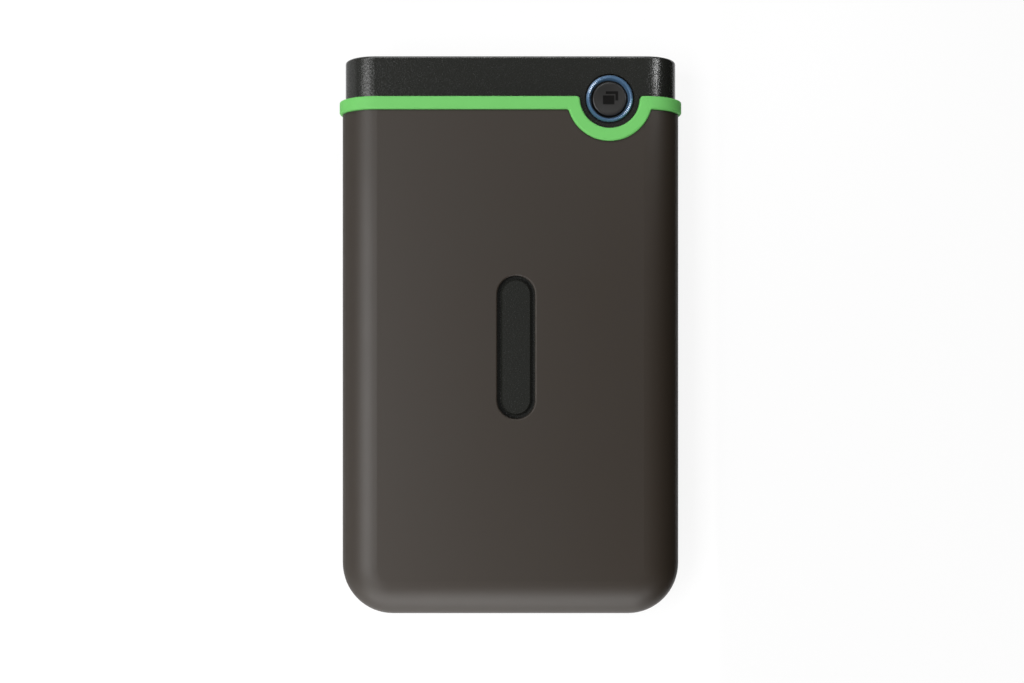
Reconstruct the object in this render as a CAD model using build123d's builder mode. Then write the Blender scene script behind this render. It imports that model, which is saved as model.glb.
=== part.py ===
from build123d import *
import os
from math import acos, atan2, cos, degrees, radians, sin, sqrt

# Portable hard drive: a 2.5-inch disk drive and its bridge board in a two-part case, with a rubber sleeve,
# an elastic band and a lit push button. It lies on its back: +X to the right, +Y to the socket end,
# +Z out of the front. Millimetres.

# Sleeve
sleeve_wall = 1.5
rim_stretch = 1.5
rim_blend = 1.5
side_flat = 0.5
plan_corner = 12.0
window_x = 1.3
window_y = -2.2
window_width = 8.7
window_length = 33.0
window_round = 0.35

# Band round the mouth of the sleeve, with an arch below the button
cap_length = 9.5
band_width = 3.0
band_proud = 0.66
band_rise = 0.6
band_round = 0.45
arch_width = 2.95
arch_top_round = 0.8
arch_foot_round = 0.5
band_gap = 0.08

# Case
fit_gap = 0.05
case_wall = 1.3
end_wall = 1.5
cap_drop = 0.7
cap_stretch = 0.8
cap_round = 0.6
seam_width = 0.24
seam_depth = 0.16
lip_width = 0.6
lip_depth = 0.8
pad_gap = 0.85
pad_recess = 0.5
pad_bevel = 0.35
boss_radius = 2.2
boss_inset = 5.35
boss_clearance = 0.35
case_screw_radius = 0.9
case_screw_head = 1.8
case_screw_thickness = 0.6
case_screw_sink = 1.3
case_screw_bite = 3.6
screw_gap = 0.1

# Button and light ring
button_from_side = 16.8
button_from_end = 9.9
tab_radius = 6.9
well_radius = 5.75
well_depth = 0.9
ring_outer = 5.35
ring_inner = 4.3
ring_rise = 0.3
ring_bevel = 0.25
button_radius = 3.9
button_sink = 0.1
button_dish = 0.22
button_round = 0.3
button_guide = 0.2
button_travel = 0.4
flange_thickness = 0.55
flange_gap = 0.1
key_width = 3.2
key_reach = 5.3
stem_radius = 1.6
peg_radius = 0.45
peg_gap = 0.1

# Shock mounting
pad_thickness = 1.4
pad_width = 6.0
pad_length = 14.0
pad_side_inset = 4.8
pad_end_inset = 2.0
side_pad_length = 20.0
side_pad_height = 3.0
side_pad_gap = 0.3
side_pad_inset = 20.0
side_room = 1.86
bumper_depth = 5.7
bumper_width = 40.0
bumper_height = 3.0
bumper_gap = 0.3

# Disk drive outside
drive_corner = 2.5
base_bevel = 0.3
cover_sheet = 0.6
gasket_sheet = 0.35
gasket_margin = 0.3
drive_floor = 2.85
pocket_side_wall = 3.725
pocket_end = 8.0
pocket_corner = 4.0
cover_inset = 0.2
cover_press = 0.2
cover_press_radius = 20.0
cover_screw_radius = 0.8
cover_screw_head = 1.5
cover_screw_thickness = 0.35
cover_screw_length = 3.4
cover_screw_inset = 3.0
cover_screw_ahead = 29.0
mount_hole_radius = 1.25
mount_hole_depth = 1.8
mount_hole_side = 4.065
mount_hole_first = 14.0
mount_hole_last = 9.75

# Platter and spindle
platter_radius = 32.5
platter_bore = 10.0
platter_thickness = 0.8
platter_clearance = 0.7
platter_lift = 1.35
platter_headroom = 1.05
platter_side_wall = 2.425
platter_end_wall = 2.5
hub_flange_radius = 12.0
hub_flange_gap = 0.4
motor_well_radius = 10.7
motor_well_floor = 0.95
shaft_radius = 1.5
bearing_radius = 3.0
bearing_gap = 0.05
stator_radius = 7.4
stator_height = 1.0
stator_seat = 0.55
stator_teeth = 9
tooth_width = 1.3
tooth_hub_radius = 4.2
tooth_tip = 0.6
tooth_tip_width = 2.6
winding_thickness = 0.35
winding_margin = 0.4
magnet_gap = 0.4
magnet_ring = 0.8
magnet_ring_height = 2.0
rotor_skirt = 1.0
rotor_clearance = 0.4
hub_top_sheet = 0.5
hub_below_platter = 0.1
platter_gap = 0.05
clamp_radius = 12.2
clamp_thickness = 0.4
clamp_hole_radius = 0.9
clamp_hole_circle = 6.5
clamp_hole_count = 6
clamp_screw_head = 2.0
clamp_screw_thickness = 0.5
clamp_screw_radius = 0.7
clamp_screw_length = 2.2

# Head arm
pivot_clearance = 1.6732
spindle_miss = 5.8732
park_beyond = 2.1
inner_track = 15.0
pivot_shaft_radius = 2.0
pivot_bearing_radius = 3.5
pivot_gap = 0.05
arm_hub_radius = 5.2
arm_hub_lift = 0.2
arm_hub_headroom = 0.25
arm_thickness = 0.5
arm_root_width = 8.0
arm_tip_width = 4.4
arm_reach = 21.0
spring_thickness = 0.15
spring_tip_width = 1.4
spring_root_width = 4.0
spring_overlap = 5.0
lift_tab = 3.0
lift_tab_width = 0.6
slider_length = 1.25
slider_width = 1.0
slider_height = 0.25
flying_gap = 0.1

# Voice coil motor
coil_clearance = 2.8
coil_outer = 17.5
coil_wire = 2.4
coil_half_angle = 21.0
coil_height = 0.8
yoke_inner_lap = 0.8
yoke_outer_lap = 1.3
yoke_clearance = 1.05
yoke_side_clearance = 0.4
yoke_sheet = 0.6
yoke_margin = 6.5
yoke_post_radius = 1.5
yoke_post_angle = 8.7
yoke_post_from_pivot = 14.0
prong_angle = 3.5
prong_inset = 1.0
magnet_sheet = 0.5
upper_air_gap = 0.35

# Parking ramp and filter
ramp_inner = 1.0
ramp_tongue = 3.3
ramp_post = 2.8
ramp_before = 6.0
ramp_after = 2.5
ramp_gap = 0.1
ramp_height = 3.2
filter_length = 7.0
filter_width = 2.6
filter_height = 2.6
filter_inset = 2.0

# Drive electronics
drive_board_side = 6.925
drive_board_to_motor = 7.65
drive_board_lift = 0.6
drive_board_sheet = 0.8
drive_board_gap = 0.3
recess_depth = 2.25
chip_height = 0.7
drive_chip_row = 26.0
controller_x = -12.0
memory_x = 3.0
driver_x = 16.0
controller_size = 12.0
memory_length = 10.0
memory_width = 7.0
driver_size = 7.0
drive_screw_radius = 0.8
drive_screw_head = 1.6
drive_screw_thickness = 0.4
drive_screw_bite = 1.2
drive_screw_inset = 4.0
standoff_radius = 2.2
drive_board_inset = 0.15

# Serial plug and receptacle
plug_x = -9.5
plug_width = 34.0
plug_notch_depth = 6.0
plug_notch_height = 5.65
plug_clearance = 0.3
plug_back = 1.5
tongue_height = 3.65
tongue_thickness = 1.2
tongue_length = 4.2
tongue_key = 0.7
tongue_key_width = 1.0
slot_gap = 0.12
data_tongue = 9.5
power_tongue = 19.5
tongue_space = 2.2
receptacle_height = 2.8
receptacle_seat = 3.5
receptacle_gap = 0.25

# Bridge board
board_sheet = 1.0
board_gap = 0.85
board_left_gap = 0.8
board_right_gap = 0.5
board_setback = 2.25
post_radius = 2.3
board_screw_radius = 1.0
board_screw_head = 1.8
board_screw_thickness = 1.1
board_screw_inset = 3.0
board_screw_bite = 2.0
bridge_chip_size = 7.0
bridge_chip_height = 0.85
bridge_chip_from_right = 19.8
bridge_chip_margin = 0.85
flash_length = 4.9
flash_width = 3.9
flash_height = 1.5
flash_from_left = 18.5
crystal_length = 3.2
crystal_width = 2.5
crystal_height = 0.8
crystal_x = -1.5
inductor_size = 4.0
inductor_height = 1.8
inductor_corner = 0.8
inductor_from_left = 10.5
capacitor_length = 1.6
capacitor_width = 0.8
capacitor_pitch = 1.9
capacitor_count = 6
capacitor_from_right = 14.8
switch_size = 4.6
switch_height = 1.5
plunger_radius = 1.0
plunger_rise = 0.6
plunger_gap = 0.1
plunger_seat = 0.4
led_length = 1.6
led_width = 0.9
led_height = 0.6

# Socket
socket_x = 0.0
socket_depth = 6.5
socket_recess = 0.35
socket_shell = 0.3
socket_height = 2.1
main_lobe = 7.0
side_lobe = 4.3
lobe_neck = 0.7
lobe_bevel = 0.6
socket_round = 0.6
socket_clearance = 0.2
insulator_depth = 1.6
blade_sheet = 0.6
blade_reach = 3.6
blade_margin = 0.5
blade_lift = 0.95
contact_width = 0.3
contact_sheet = 0.1
contact_pitch = 0.6
contact_count = 5

# Size of the disk drive, from its platter, head arm and coil
drive_width = 2 * (platter_radius + platter_side_wall)
spindle_from_end = platter_radius + platter_end_wall
pocket_half = drive_width / 2 - pocket_side_wall
coil_inner = arm_hub_radius + coil_clearance
yoke_inner = coil_inner - yoke_inner_lap
yoke_outer = coil_outer + yoke_outer_lap
pivot_side = pocket_half - yoke_side_clearance - yoke_outer
pivot_span = platter_radius + arm_hub_radius + pivot_clearance
pivot_ahead = sqrt(pivot_span ** 2 - pivot_side ** 2)
arm_length = pivot_span - spindle_miss
drive_length = spindle_from_end + pivot_ahead + yoke_outer + yoke_clearance + pocket_end
drive_height = drive_floor + platter_lift + platter_thickness + platter_headroom + gasket_sheet + cover_sheet

# Size of the whole, from the disk drive, its mounting and the bridge board
case_inset = sleeve_wall + fit_gap
cavity_inset = case_inset + case_wall
board_bay = board_gap + receptacle_seat + bridge_chip_size + 2 * bridge_chip_margin + socket_depth
length = cavity_inset + bumper_depth + drive_length + board_bay + end_wall
sleeve_width = drive_width + 2 * (side_room + cavity_inset)
sleeve_height = drive_height + 2 * (pad_thickness + cavity_inset)

# Levels and places worked out from the sizes above
end_y = length / 2
band_high = end_y - cap_length
band_low = band_high - band_width
band_y = (band_low + band_high) / 2
mid_z = sleeve_height / 2
case_low = cavity_inset
case_high = sleeve_height - cavity_inset
cavity_end = end_y - end_wall
cap_front = sleeve_height - cap_drop
button_x = sleeve_width / 2 - button_from_side
button_y = end_y - button_from_end
arch_radius = tab_radius + arch_width

drive_low = cavity_inset - end_y + bumper_depth
drive_high = drive_low + drive_length
drive_y = (drive_low + drive_high) / 2
drive_z = case_low + pad_thickness
drive_top = drive_z + drive_height
cover_low = drive_top - cover_sheet
base_top = cover_low - gasket_sheet
floor_z = drive_z + drive_floor
spindle_y = drive_low + spindle_from_end
pocket_high = drive_high - pocket_end

platter_low = floor_z + platter_lift
platter_high = platter_low + platter_thickness
pivot_x = pivot_side
pivot_y = spindle_y + pivot_ahead
park_radius = platter_radius + park_beyond


def track_angle(radius):
    """Give the angle at the pivot, in degrees, between the spindle and a head at this radius from it."""
    side = pivot_span ** 2 + arm_length ** 2 - radius ** 2
    return degrees(acos(side / (2 * pivot_span * arm_length)))


spindle_angle = degrees(atan2(-pivot_ahead, -pivot_side)) % 360
park_angle = spindle_angle - track_angle(park_radius)
swing = track_angle(park_radius) - track_angle(inner_track)

board_z = drive_z + tongue_height - receptacle_height / 2 - board_sheet
board_top = board_z + board_sheet
board_low = drive_high + board_gap
board_high = cavity_end - board_setback
board_row = (board_low + receptacle_seat + cavity_end - socket_depth) / 2
boss_x = sleeve_width / 2 - cavity_inset - boss_inset
boss_y = drive_high + boss_clearance + boss_radius
board_left = boss_radius + board_left_gap - boss_x
board_right = boss_x - boss_radius - board_right_gap
switch_top = board_top + switch_height
plunger_top = switch_top + plunger_rise
peg_circle = (ring_inner + ring_outer) / 2
led_top = board_top + led_height
well_floor = cap_front - well_depth
flange_high = case_high - flange_gap
flange_low = flange_high - flange_thickness
button_top = cap_front - button_sink
socket_mouth = end_y - socket_recess
socket_back = socket_mouth - socket_depth
socket_low = board_top + socket_shell
socket_width = main_lobe + lobe_neck + side_lobe
tongue_z = drive_z + tongue_height
tongue_root = drive_high - plug_notch_depth + plug_back
tongue_tip = tongue_root + tongue_length
tongues_width = data_tongue + tongue_space + power_tongue
drive_board_low = drive_z + drive_board_lift
drive_board_top = drive_board_low + drive_board_sheet
drive_board_end = drive_high - drive_board_inset
drive_board_width = drive_width - 2 * drive_board_side
drive_board_length = drive_board_end - spindle_y - motor_well_radius - drive_board_to_motor
chip_row_y = drive_high - drive_chip_row

well_z = drive_z + motor_well_floor
hub_top = platter_high - hub_below_platter
hub_under = hub_top - hub_top_sheet
flange_z = floor_z + hub_flange_gap
stator_z = well_z + stator_seat
magnet_inner = stator_radius + magnet_gap
magnet_outer = magnet_inner + magnet_ring
rotor_low = well_z + rotor_clearance
clamp_top = platter_high + clamp_thickness

lower_spring_top = platter_low - flying_gap - slider_height
lower_arm_top = lower_spring_top - spring_thickness
upper_spring_low = platter_high + flying_gap + slider_height
upper_arm_low = upper_spring_low + spring_thickness
arm_hub_low = floor_z + arm_hub_lift
arm_hub_high = cover_low - arm_hub_headroom
coil_low = (platter_low + platter_high - coil_height) / 2
coil_angle = park_angle - 180
coil_fit_angle = degrees(fit_gap / coil_inner)
yoke_top = floor_z + yoke_sheet
upper_yoke_low = coil_low + coil_height + upper_air_gap
first_post = coil_angle - coil_half_angle - prong_angle - yoke_post_angle
last_post = coil_angle + swing + coil_half_angle + prong_angle + yoke_post_angle

button = (button_x, button_y)
spindle = (0, spindle_y)
pivot = (pivot_x, pivot_y)
bosses = [(-boss_x, boss_y), (boss_x, boss_y)]
pegs = [(button_x - peg_circle, button_y), (button_x + peg_circle, button_y)]
board_screw_places = [
    (board_left + board_screw_inset, board_high - board_screw_inset),
    (board_right - board_screw_inset, board_low + board_screw_inset),
]
drive_screw_x = drive_board_width / 2 - drive_screw_inset
drive_screw_places = [
    (-drive_screw_x, drive_board_end - drive_board_length + drive_screw_inset),
    (drive_screw_x, drive_board_end - drive_board_length + drive_screw_inset),
    (drive_screw_x, drive_board_end - drive_screw_inset),
]
cover_corner_x = drive_width / 2 - cover_screw_inset
cover_side_x = (drive_width / 2 + pocket_half) / 2
cover_screw_places = [
    (-cover_corner_x, drive_low + cover_screw_inset),
    (cover_corner_x, drive_low + cover_screw_inset),
    (-cover_corner_x, drive_high - cover_screw_inset),
    (cover_corner_x, drive_high - cover_screw_inset),
    (-cover_side_x, spindle_y + cover_screw_ahead),
    (cover_side_x, spindle_y + cover_screw_ahead),
    pivot,
]
pad_x = drive_width / 2 - pad_side_inset - pad_width / 2
pad_low_y = drive_low + pad_end_inset + pad_length / 2
pad_high_y = drive_high - pad_end_inset - pad_length / 2
pad_places = [(-pad_x, pad_low_y), (pad_x, pad_low_y), (-pad_x, pad_high_y), (pad_x, pad_high_y)]


def rim_arcs(half, level, rise, stretch, right, up):
    """Draw one quarter of the rim: a tight arc from the upright side, then a wide arc into the flat face."""
    small = rise - rim_blend
    large = rise + stretch * (stretch + 2 * rim_blend) / (2 * rim_blend)
    tilt = degrees(atan2(large - rise, stretch + rim_blend))
    start = 0 if right > 0 else 180
    turn = right * up
    CenterArc((right * (half - small), level), small, start, turn * tilt)
    wide_center = (right * (half - rise - stretch), level + up * (rise - large))
    CenterArc(wide_center, large, start + turn * tilt, turn * (90 - tilt))


def rounded_section(half, low, high, stretch):
    """Draw the closed outline across the drive: flat faces, upright flats and rounded rims."""
    rise = (high - low - side_flat) / 2
    flat = half - rise - stretch
    with BuildLine() as outline:
        Line((-flat, high), (flat, high))
        Line((flat, low), (-flat, low))
        for side in (-1, 1):
            Line((side * half, high - rise), (side * half, low + rise))
            rim_arcs(half, high - rise, rise, stretch, side, 1)
            rim_arcs(half, low + rise, rise, stretch, side, -1)
    make_face(outline.line)


def rim_section(outer, low, high, stretch):
    """Draw the outline of one rim, from a straight inner side at zero to the outer edge."""
    rise = (high - low - side_flat) / 2
    flat = outer - rise - stretch
    with BuildLine() as outline:
        Line((0, high), (flat, high))
        rim_arcs(outer, high - rise, rise, stretch, 1, 1)
        Line((outer, high - rise), (outer, low + rise))
        rim_arcs(outer, low + rise, rise, stretch, 1, -1)
        Line((flat, low), (0, low))
        Line((0, low), (0, high))
    make_face(outline.line)


def add_body(inset, top, mode=Mode.ADD):
    """Add the rounded body of the drive at an inset from the sleeve: closed at -Y, cut square at y = top."""
    half = sleeve_width / 2 - inset
    low = inset
    high = sleeve_height - inset
    corner = plan_corner - inset
    corner_x = half - corner
    corner_y = inset - end_y + corner
    with BuildSketch(Plane.XZ.offset(-top)) as across:
        rounded_section(half, low, high, rim_stretch)
    extrude(across.sketch, amount=top - corner_y, mode=mode)
    with BuildSketch(Plane((-corner_x, corner_y, 0), x_dir=(0, -1, 0), z_dir=(-1, 0, 0))) as end_rim:
        rim_section(corner, low, high, rim_stretch)
    extrude(end_rim.sketch, amount=-2 * corner_x, mode=mode)
    for side in (-1, 1):
        upright = Axis((side * corner_x, corner_y, 0), (0, 0, 1))
        with BuildSketch(Plane((side * corner_x, corner_y, 0), x_dir=(0, -1, 0), z_dir=(-1, 0, 0))) as rim:
            rim_section(corner, low, high, rim_stretch)
        revolve(rim.sketch, axis=upright, revolution_arc=side * 90, mode=mode)


def body_plan(inset, top, mode=Mode.ADD):
    """Draw the plan of the body at an inset, with its two round corners, cut square at y = top."""
    half = sleeve_width / 2 - inset
    low = inset - end_y
    with BuildLine() as outline:
        FilletPolyline((half, top), (half, low), (-half, low), (-half, top), radius=plan_corner - inset)
        Line((-half, top), (half, top))
    make_face(outline.line, mode=mode)


def fan(center, inner, outer, start, end, mode=Mode.ADD):
    """Draw a fan-shaped plate between two radii and two angles, in degrees, about a centre."""
    with BuildLine() as outline:
        CenterArc(center, outer, start, end - start)
        CenterArc(center, inner, start, end - start)
        for angle in (radians(start), radians(end)):
            near = (center[0] + inner * cos(angle), center[1] + inner * sin(angle))
            far = (center[0] + outer * cos(angle), center[1] + outer * sin(angle))
            Line(near, far)
    make_face(outline.line, mode=mode)


def add_round(places, level, radius, height, mode=Mode.ADD):
    """Add or cut an upright cylinder at each place, from the level up, or down for a height below zero."""
    with BuildSketch(Plane.XY.offset(level)) as disc:
        with Locations(*places):
            Circle(radius)
    extrude(disc.sketch, amount=height, mode=mode)


def add_block(places, level, size_x, size_y, height, corner=0, mode=Mode.ADD):
    """Add or cut an upright block at each place, from the level up, with round upright corners if asked."""
    with BuildSketch(Plane.XY.offset(level)) as plan:
        with Locations(*places):
            if corner:
                RectangleRounded(size_x, size_y, corner)
            else:
                Rectangle(size_x, size_y)
    extrude(plan.sketch, amount=height, mode=mode)


def finish(builder, name):
    """Label a finished piece and write it to its own file."""
    builder.part.label = name
    export_step(builder.part, f"parts/{name}.step")


os.makedirs("parts", exist_ok=True)


# Rubber sleeve
with BuildPart() as outer_sleeve:
    add_body(0, band_low - band_gap)
    add_body(sleeve_wall, band_low - band_gap, mode=Mode.SUBTRACT)
    add_round([button], mid_z, arch_radius + band_gap, sleeve_height, mode=Mode.SUBTRACT)
    mouth_corners = outer_sleeve.edges().filter_by(Axis.Z).group_by(Axis.Y)[-1].sort_by(Axis.Z)[-2:]
    fillet(mouth_corners, arch_foot_round - band_gap)
    with BuildSketch(Plane.XY.offset(mid_z)):
        with Locations((window_x, window_y)):
            SlotOverall(window_length, window_width, rotation=90)
    extrude(amount=sleeve_height, mode=Mode.SUBTRACT)
    window_rim = outer_sleeve.faces().filter_by(Axis.Z).sort_by(Axis.Z)[-1].inner_wires()[0]
    fillet(window_rim.edges(), window_round)
finish(outer_sleeve, "outer_sleeve")

# Plan of the band: a straight strip all round, with an arch below the button on the front alone
with BuildPart() as band_plan:
    with BuildSketch(Plane.XY.offset(mid_z)) as front_plan:
        with Locations((0, band_y)):
            Rectangle(sleeve_width + 4 * band_proud, band_width)
        with Locations(button):
            Circle(arch_radius)
        with Locations((0, band_high)):
            Rectangle(2 * sleeve_width, 2 * arch_radius, align=(Align.CENTER, Align.MIN), mode=Mode.SUBTRACT)
        with Locations(button):
            Circle(tab_radius, mode=Mode.SUBTRACT)
        top_corners = front_plan.vertices().group_by(Axis.Y)[-1].sort_by(Axis.X)[1:3]
        fillet(top_corners, arch_top_round)
        foot_corners = front_plan.vertices().filter_by(lambda v: abs(v.Y - band_low) < fit_gap)
        fillet(foot_corners.sort_by(Axis.X)[1:3], arch_foot_round)
    extrude(amount=sleeve_height)
    add_block([(0, band_y)], mid_z, sleeve_width + 4 * band_proud, band_width, -sleeve_height)

# What the band closes round
with BuildPart() as band_core:
    with BuildSketch(Plane.XZ.offset(-band_high)):
        rounded_section(sleeve_width / 2 - sleeve_wall, sleeve_wall, sleeve_height - sleeve_wall, rim_stretch)
    extrude(amount=2 * arch_radius)

# Elastic band
with BuildPart() as edge_band:
    with BuildSketch(Plane.XZ.offset(-band_high)):
        rounded_section(sleeve_width / 2 + band_proud, 0, sleeve_height + band_rise, rim_stretch)
    extrude(amount=2 * arch_radius)
    add(band_plan.part, mode=Mode.INTERSECT)
    add(band_core.part, mode=Mode.SUBTRACT)
    outside = edge_band.edges().filter_by(lambda e: band_core.part.distance_to(e.center()) > sleeve_wall / 2)
    outside = outside.filter_by(Axis.Y, reverse=True).filter_by(Axis.Z, reverse=True)
    fillet(outside, band_round)
finish(edge_band, "edge_band")

# Whole case: the body under the sleeve, the bare end and the tab round the button, hollowed out
with BuildPart() as whole_case:
    add_body(case_inset, band_high + band_gap)
    with BuildSketch(Plane.XZ.offset(-end_y)):
        rounded_section(sleeve_width / 2 - cap_drop, cap_drop, cap_front, cap_stretch)
    extrude(amount=cap_length - band_gap)
    fillet(whole_case.faces().sort_by(Axis.Y)[-1].edges(), cap_round)
    with BuildSketch(Plane.XY.offset(mid_z - seam_width / 2)):
        with Locations((0, band_high + band_gap)):
            Rectangle(sleeve_width, cap_length, align=(Align.CENTER, Align.MIN))
        with Locations((0, band_high + band_gap)):
            RectangleRounded(
                sleeve_width - 2 * cap_drop - 2 * seam_depth,
                2 * (cap_length - band_gap - seam_depth),
                cap_round - seam_depth,
                mode=Mode.SUBTRACT,
            )
    extrude(amount=seam_width, mode=Mode.SUBTRACT)
    add_round([button], mid_z, tab_radius - band_gap, cap_front - mid_z)
    add_body(cavity_inset, cavity_end, mode=Mode.SUBTRACT)
    with BuildSketch(Plane.XZ.offset(-end_y)):
        with Locations((socket_x, socket_low + socket_height / 2)):
            RectangleRounded(
                socket_width + 2 * socket_shell + 2 * socket_clearance,
                socket_height + 2 * socket_shell + 2 * socket_clearance,
                socket_round,
            )
    extrude(amount=2 * end_wall, mode=Mode.SUBTRACT)

# Front half of the case, with the lip, the raised pad in the window and the button's well
with BuildPart() as front_case:
    add(whole_case.part)
    split(bisect_by=Plane.XY.offset(mid_z), keep=Keep.TOP)
    with BuildSketch(Plane.XY.offset(mid_z)):
        body_plan(cavity_inset - lip_width, cavity_end)
        body_plan(cavity_inset, cavity_end, mode=Mode.SUBTRACT)
    extrude(amount=-lip_depth)
    with BuildSketch(Plane.XY.offset(case_high)):
        with Locations((window_x, window_y)):
            SlotOverall(window_length - 2 * pad_gap, window_width - 2 * pad_gap, rotation=90)
    extrude(amount=sleeve_height - pad_recess - case_high)
    chamfer(front_case.faces().filter_by(Axis.Z).sort_by(Axis.Z)[-1].edges(), pad_bevel)
    add_round(bosses, mid_z, boss_radius, case_high - mid_z)
    add_round(bosses, mid_z, case_screw_radius, case_screw_bite, mode=Mode.SUBTRACT)
    add_round([button], cap_front, well_radius, -well_depth, mode=Mode.SUBTRACT)
    add_round([button], cap_front, button_radius + button_guide, -sleeve_height / 2, mode=Mode.SUBTRACT)
    add_round(pegs, cap_front, peg_radius + peg_gap, -sleeve_height / 2, mode=Mode.SUBTRACT)
finish(front_case, "front_case")

# Back half of the case, with the rebate for the lip, the screw bosses and the posts of the bridge board
with BuildPart() as back_case:
    add(whole_case.part)
    split(bisect_by=Plane.XY.offset(mid_z), keep=Keep.BOTTOM)
    with BuildSketch(Plane.XY.offset(mid_z)):
        body_plan(cavity_inset - lip_width - fit_gap, cavity_end)
    extrude(amount=-lip_depth - fit_gap, mode=Mode.SUBTRACT)
    add_round(bosses, case_low, boss_radius, mid_z - case_low)
    add_round(bosses, mid_z, case_screw_radius + screw_gap, -mid_z, mode=Mode.SUBTRACT)
    add_round(bosses, case_inset + case_screw_sink, case_screw_head + screw_gap, -mid_z, mode=Mode.SUBTRACT)
    add_round(board_screw_places, case_low, post_radius, board_z - case_low)
    add_round(board_screw_places, board_z, board_screw_radius, -board_screw_bite, mode=Mode.SUBTRACT)
finish(back_case, "back_case")

# Case screws, sunk in the back under the sleeve
with BuildPart() as case_screws:
    screw_seat = case_inset + case_screw_sink
    add_round(bosses, screw_seat, case_screw_head, -case_screw_thickness)
    add_round(bosses, screw_seat, case_screw_radius, mid_z + case_screw_bite - screw_gap - screw_seat)
finish(case_screws, "case_screws")

# Light ring, with two pegs that carry the light up from the lamps
with BuildPart() as light_ring:
    with BuildSketch(Plane.XY.offset(well_floor)):
        with Locations(button):
            Circle(ring_outer)
            Circle(ring_inner, mode=Mode.SUBTRACT)
    extrude(amount=well_depth + ring_rise)
    chamfer(light_ring.faces().sort_by(Axis.Z)[-1].edges(), ring_bevel)
    add_round(pegs, well_floor, peg_radius, led_top + peg_gap - well_floor)
finish(light_ring, "light_ring")

# Push button: dished cap, two keys that hold it under the case, stem down to the switch
with BuildPart() as button_cap:
    add_round([button], flange_low, button_radius, button_top - flange_low)
    fillet(button_cap.faces().sort_by(Axis.Z)[-1].edges(), button_round)
    dish_reach = button_radius - 2 * button_round
    dish_radius = (dish_reach ** 2 + button_dish ** 2) / (2 * button_dish)
    with Locations((button_x, button_y, button_top - button_dish + dish_radius)):
        Sphere(dish_radius, mode=Mode.SUBTRACT)
    add_block([button], flange_low, key_width, 2 * key_reach, flange_thickness)
    add_round([button], plunger_top, stem_radius, flange_low - plunger_top)
finish(button_cap, "button_cap")

# Rubber pads between the drive and the two case halves
with BuildPart() as front_pads:
    add_block(pad_places, drive_top, pad_width, pad_length, case_high - drive_top)
finish(front_pads, "front_pads")

with BuildPart() as back_pads:
    add_block(pad_places, case_low, pad_width, pad_length, pad_thickness)
finish(back_pads, "back_pads")

# Rubber strips along the drive's sides
with BuildPart() as side_pads:
    strip = side_room - side_pad_gap
    strip_x = (drive_width + strip) / 2
    strip_rows = (drive_low + side_pad_inset, drive_high - side_pad_inset)
    strip_places = [(side * strip_x, row) for side in (-1, 1) for row in strip_rows]
    add_block(strip_places, mid_z - side_pad_height / 2, strip, side_pad_length, side_pad_height)
finish(side_pads, "side_pads")

# Foam bumper at the closed end
with BuildPart() as end_bumper:
    bumper_thickness = bumper_depth - bumper_gap
    bumper_place = (0, drive_low - bumper_thickness / 2)
    add_block([bumper_place], mid_z - bumper_height / 2, bumper_width, bumper_thickness, bumper_height)
finish(end_bumper, "end_bumper")

# Cast base of the disk drive
with BuildPart() as drive_base:
    add_block([(0, drive_y)], drive_z, drive_width, drive_length, base_top - drive_z, corner=drive_corner)
    chamfer(drive_base.faces().sort_by(Axis.Z)[0].edges(), base_bevel)
    with BuildSketch(Plane.XY.offset(floor_z)):
        with Locations(spindle):
            Circle(platter_radius + platter_clearance)
        with Locations((0, (spindle_y + pocket_high) / 2)):
            RectangleRounded(2 * pocket_half, pocket_high - spindle_y, pocket_corner)
    extrude(amount=drive_height, mode=Mode.SUBTRACT)
    add_round([spindle], floor_z, motor_well_radius, well_z - floor_z, mode=Mode.SUBTRACT)
    add_round([spindle], well_z, tooth_hub_radius, stator_seat)
    add_round([spindle], stator_z, bearing_radius + fit_gap, -stator_seat, mode=Mode.SUBTRACT)
    recess_length = drive_board_length + drive_board_inset + drive_board_gap
    add_block(
        [(0, drive_high - recess_length / 2)],
        drive_z,
        drive_board_width + 2 * drive_board_gap,
        recess_length,
        recess_depth,
        mode=Mode.SUBTRACT,
    )
    add_block(
        [(plug_x, drive_high - plug_notch_depth / 2)],
        drive_z,
        plug_width + 2 * plug_clearance,
        plug_notch_depth,
        plug_notch_height,
        mode=Mode.SUBTRACT,
    )
    add_round(drive_screw_places, drive_board_top, standoff_radius, drive_z + recess_depth - drive_board_top)
    add_round(drive_screw_places, drive_board_top, drive_screw_radius, drive_screw_bite, mode=Mode.SUBTRACT)
    add_round(cover_screw_places[:-1], base_top, cover_screw_radius, -cover_screw_length, mode=Mode.SUBTRACT)
    mount_rows = (drive_high - mount_hole_first, drive_low + mount_hole_last)
    mount_hole_x = drive_width / 2 - mount_hole_side
    mount_places = [(side * mount_hole_x, row) for side in (-1, 1) for row in mount_rows]
    add_round(mount_places, drive_z, mount_hole_radius, mount_hole_depth, mode=Mode.SUBTRACT)
finish(drive_base, "drive_base")

# Gasket under the cover
with BuildPart() as cover_gasket:
    with BuildSketch(Plane.XY.offset(base_top)):
        with Locations((0, drive_y)):
            RectangleRounded(drive_width - 2 * gasket_margin, drive_length - 2 * gasket_margin, drive_corner)
        with Locations(spindle):
            Circle(platter_radius + platter_clearance + gasket_margin, mode=Mode.SUBTRACT)
        with Locations((0, (spindle_y + pocket_high + gasket_margin) / 2)):
            RectangleRounded(
                2 * pocket_half + 2 * gasket_margin,
                pocket_high + gasket_margin - spindle_y,
                pocket_corner,
                mode=Mode.SUBTRACT,
            )
        with Locations(*cover_screw_places[:-1]):
            Circle(cover_screw_radius + screw_gap, mode=Mode.SUBTRACT)
    extrude(amount=gasket_sheet)
finish(cover_gasket, "cover_gasket")

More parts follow.
